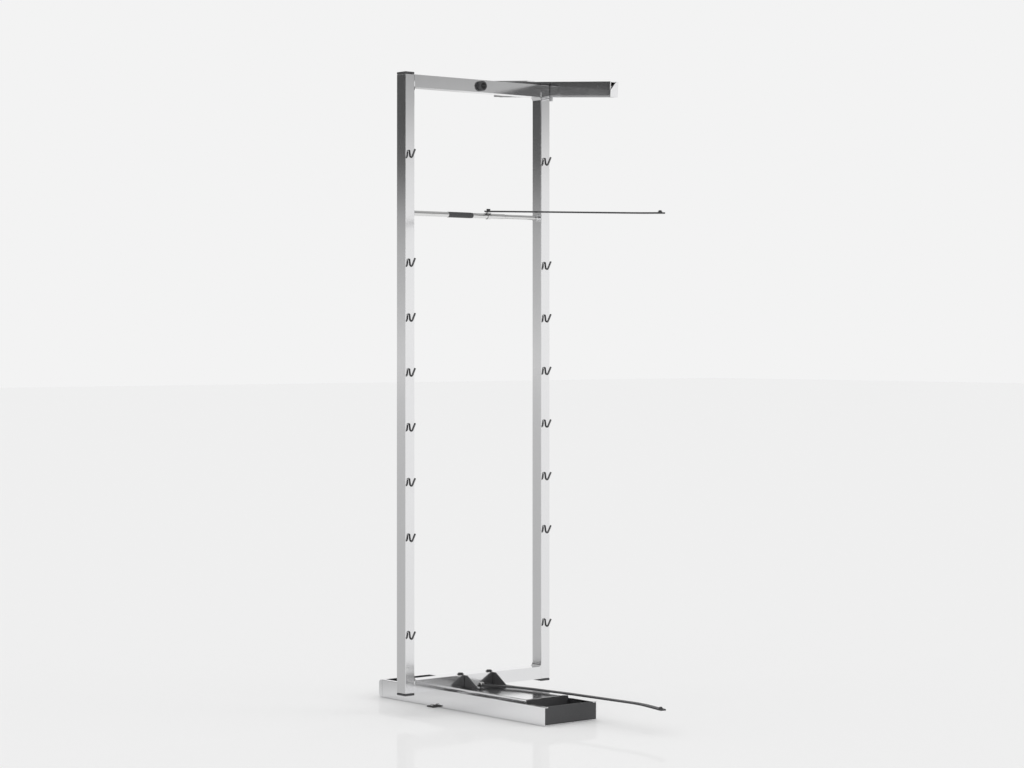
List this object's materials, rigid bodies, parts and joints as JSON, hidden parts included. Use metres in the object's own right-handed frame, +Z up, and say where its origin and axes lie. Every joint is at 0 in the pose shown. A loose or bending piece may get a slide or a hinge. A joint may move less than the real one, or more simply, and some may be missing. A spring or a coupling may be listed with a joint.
{
  "type": "pull-out larder frame",
  "caption": "Tall hook frame on a sliding floor runner, with two hinged door arms and a top guide rail.",
  "frame": {"origin": "on the runner's underside at its middle, below the front face of the frame", "axes": "+Z up, +X along the frame from the near-left post to the far-right post, -Y towards the cabinet door"},
  "size_m": [0.3952, 0.7496, 1.287],
  "materials": {
    "silver_paint": "satin silver powder coat",
    "black_plastic": "moulded satin black",
    "black_steel": "black coated steel",
    "bright_steel": "bright plated",
    "grey_plastic": "moulded grey acetal"
  },
  "bodies": {
    "runner": {"base_channel": "silver_paint", "channel_front_cap": "black_plastic", "channel_rear_cap": "silver_paint", "fixing_lug_left": "black_steel", "fixing_lug_right": "black_steel", "lug_screw_left": "bright_steel", "lug_screw_right": "bright_steel"},
    "ball_cages": {"ball_cage_left": "black_plastic", "ball_cage_right": "black_plastic"},
    "frame": {"carriage": "silver_paint", "carriage_front_cap": "black_plastic", "gusset_left": "black_steel", "gusset_right": "black_steel", "frame_bolt_left": "black_steel", "frame_bolt_right": "black_steel", "post_left": "silver_paint", "post_right": "silver_paint", "bottom_plug_left": "black_plastic", "bottom_plug_right": "black_plastic", "top_plug_left": "black_plastic", "top_plug_right": "black_plastic", "bottom_tube": "silver_paint", "top_tube": "silver_paint", "hook_left_1": "silver_paint", "hook_left_2": "silver_paint", "hook_left_3": "silver_paint", "hook_left_4": "silver_paint", "hook_left_5": "silver_paint", "hook_left_6": "silver_paint", "hook_left_7": "silver_paint", "hook_left_8": "silver_paint", "hook_right_1": "silver_paint", "hook_right_2": "silver_paint", "hook_right_3": "silver_paint", "hook_right_4": "silver_paint", "hook_right_5": "silver_paint", "hook_right_6": "silver_paint", "hook_right_7": "silver_paint", "hook_right_8": "silver_paint", "rod_socket_left": "silver_paint", "rod_socket_right": "silver_paint", "cross_rod_left": "bright_steel", "cross_rod_right": "bright_steel", "door_buffer": "black_plastic", "lower_arm_pin": "bright_steel", "guide_pivot_pin": "bright_steel"},
    "lower_arm": {"lower_arm": "black_steel", "lower_arm_end_pin": "black_steel"},
    "clamp": {"rod_clamp": "silver_paint", "clamp_pin": "black_plastic"},
    "upper_arm": {"upper_arm": "black_steel", "upper_arm_end_pin": "black_steel"},
    "guide": {"guide_block": "grey_plastic"},
    "rail": {"top_rail": "silver_paint", "rail_end_plate": "silver_paint", "rail_fixing_strap": "silver_paint"}
  },
  "joints": [
    {"name": "frame_slide", "type": "slide", "parent": "runner", "child": "frame", "axis": [0, -1, 0], "range_m": [-0.14, 0.058]},
    {"name": "cage_slide", "type": "slide", "parent": "runner", "child": "ball_cages", "axis": [0, -1, 0], "range_m": [-0.07, 0.029]},
    {"name": "lower_arm_hinge", "type": "hinge", "parent": "frame", "child": "lower_arm", "pos_m": [-0.011, -0.021, 0.047], "axis": [0, 0, 1], "range_deg": [-65, 15]},
    {"name": "clamp_tilt", "type": "hinge", "parent": "frame", "child": "clamp", "pos_m": [0.035, 0.014, 0.99], "axis": [1, 0, 0], "range_deg": [-45, 45]},
    {"name": "upper_arm_hinge", "type": "hinge", "parent": "clamp", "child": "upper_arm", "pos_m": [0.035, 0.014, 0.99], "axis": [0, -0.0436, 0.999], "range_deg": [-60, 60]},
    {"name": "guide_tilt", "type": "hinge", "parent": "frame", "child": "guide", "pos_m": [0.1982, 0.014, 1.2365], "axis": [1, 0, 0], "range_deg": [-8, 4]},
    {"name": "rail_slide", "type": "slide", "parent": "guide", "child": "rail", "axis": [0, 0.9973, 0.0732], "range_m": [-0.15, 0.17]}
  ],
  "couplings": [
    {"joint": "cage_slide", "follows": "frame_slide", "ratio": 0.5}
  ]
}
